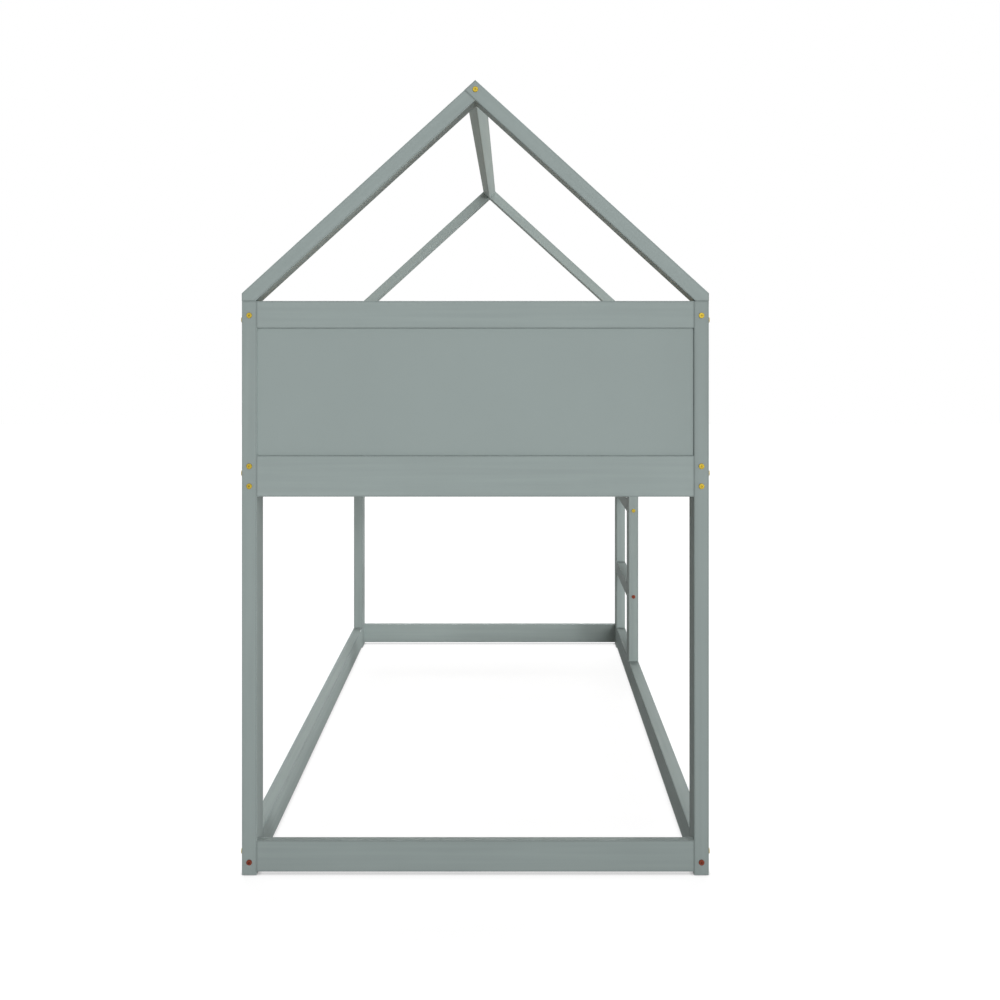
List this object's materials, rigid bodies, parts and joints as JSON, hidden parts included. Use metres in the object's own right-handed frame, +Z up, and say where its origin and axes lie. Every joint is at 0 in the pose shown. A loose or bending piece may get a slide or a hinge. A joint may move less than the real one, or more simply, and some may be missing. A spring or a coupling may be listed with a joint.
{
  "type": "low bunk bed",
  "caption": "Low bunk bed with closed end panels, slatted side guards, a ladder let into one side and an open house-shaped roof of rafters and a ridge bar.",
  "frame": {"origin": "on the floor, at the middle of the bed's footprint", "axes": "+Y along the bed from the front end to the rear end, +X to the right, on the ladder's side, +Z up"},
  "size_m": [1.0688, 1.9898, 1.8115],
  "materials": {
    "painted_wood": "solid pine under satin grey-green paint, grain faintly showing",
    "painted_panel": "flat board under the same satin grey-green paint",
    "bare_pine": "planed pine, unpainted",
    "beech_dowel": "bare beech",
    "yellow_bolt": "yellow zinc plate, satin",
    "bronze_bolt": "dark red-bronze plate, satin",
    "zinc_steel": "bright zinc-plated steel"
  },
  "bodies": {
    "root": {"bed_slat_01": "bare_pine", "bed_slat_02": "bare_pine", "bed_slat_03": "bare_pine", "bed_slat_04": "bare_pine", "bed_slat_05": "bare_pine", "bed_slat_06": "bare_pine", "bed_slat_07": "bare_pine", "bed_slat_08": "bare_pine", "bed_slat_09": "bare_pine", "bed_slat_10": "bare_pine", "bed_slat_11": "bare_pine", "bed_slat_12": "bare_pine", "bed_slat_13": "bare_pine", "end_rail_barrel_nuts": "zinc_steel", "end_rail_bolts": "yellow_bolt", "floor_rail_bolts": "bronze_bolt", "frame_dowels": "beech_dowel", "front_bed_rail": "painted_wood", "front_floor_rail": "painted_wood", "front_left_post": "painted_wood", "front_left_rafter": "painted_wood", "front_panel": "painted_panel", "front_right_post": "painted_wood", "front_right_rafter": "painted_wood", "front_top_rail": "painted_wood", "guard_entry_post": "painted_wood", "ladder_rung_lower": "painted_wood", "ladder_rung_upper": "painted_wood", "ladder_stile": "painted_wood", "ledger_screws": "zinc_steel", "left_bed_rail": "painted_wood", "left_floor_rail": "painted_wood", "left_guard_rail": "painted_wood", "left_guard_slats": "painted_wood", "left_slat_ledger": "bare_pine", "lower_rung_bolts": "bronze_bolt", "rafter_dowels": "beech_dowel", "rear_bed_rail": "painted_wood", "rear_floor_rail": "painted_wood", "rear_left_post": "painted_wood", "rear_left_rafter": "painted_wood", "rear_panel": "painted_panel", "rear_right_post": "painted_wood", "rear_right_rafter": "painted_wood", "rear_top_rail": "painted_wood", "ridge_barrel_nuts": "zinc_steel", "ridge_beam": "painted_wood", "ridge_bolts": "yellow_bolt", "ridge_dowels": "beech_dowel", "right_bed_rail": "painted_wood", "right_floor_rail": "painted_wood", "right_guard_rail": "painted_wood", "right_guard_slats": "painted_wood", "right_slat_ledger": "bare_pine", "side_rail_barrel_nuts": "zinc_steel", "side_rail_bolts": "yellow_bolt", "slat_screws": "zinc_steel", "upper_rung_bolts": "yellow_bolt"}
  },
  "joints": []
}
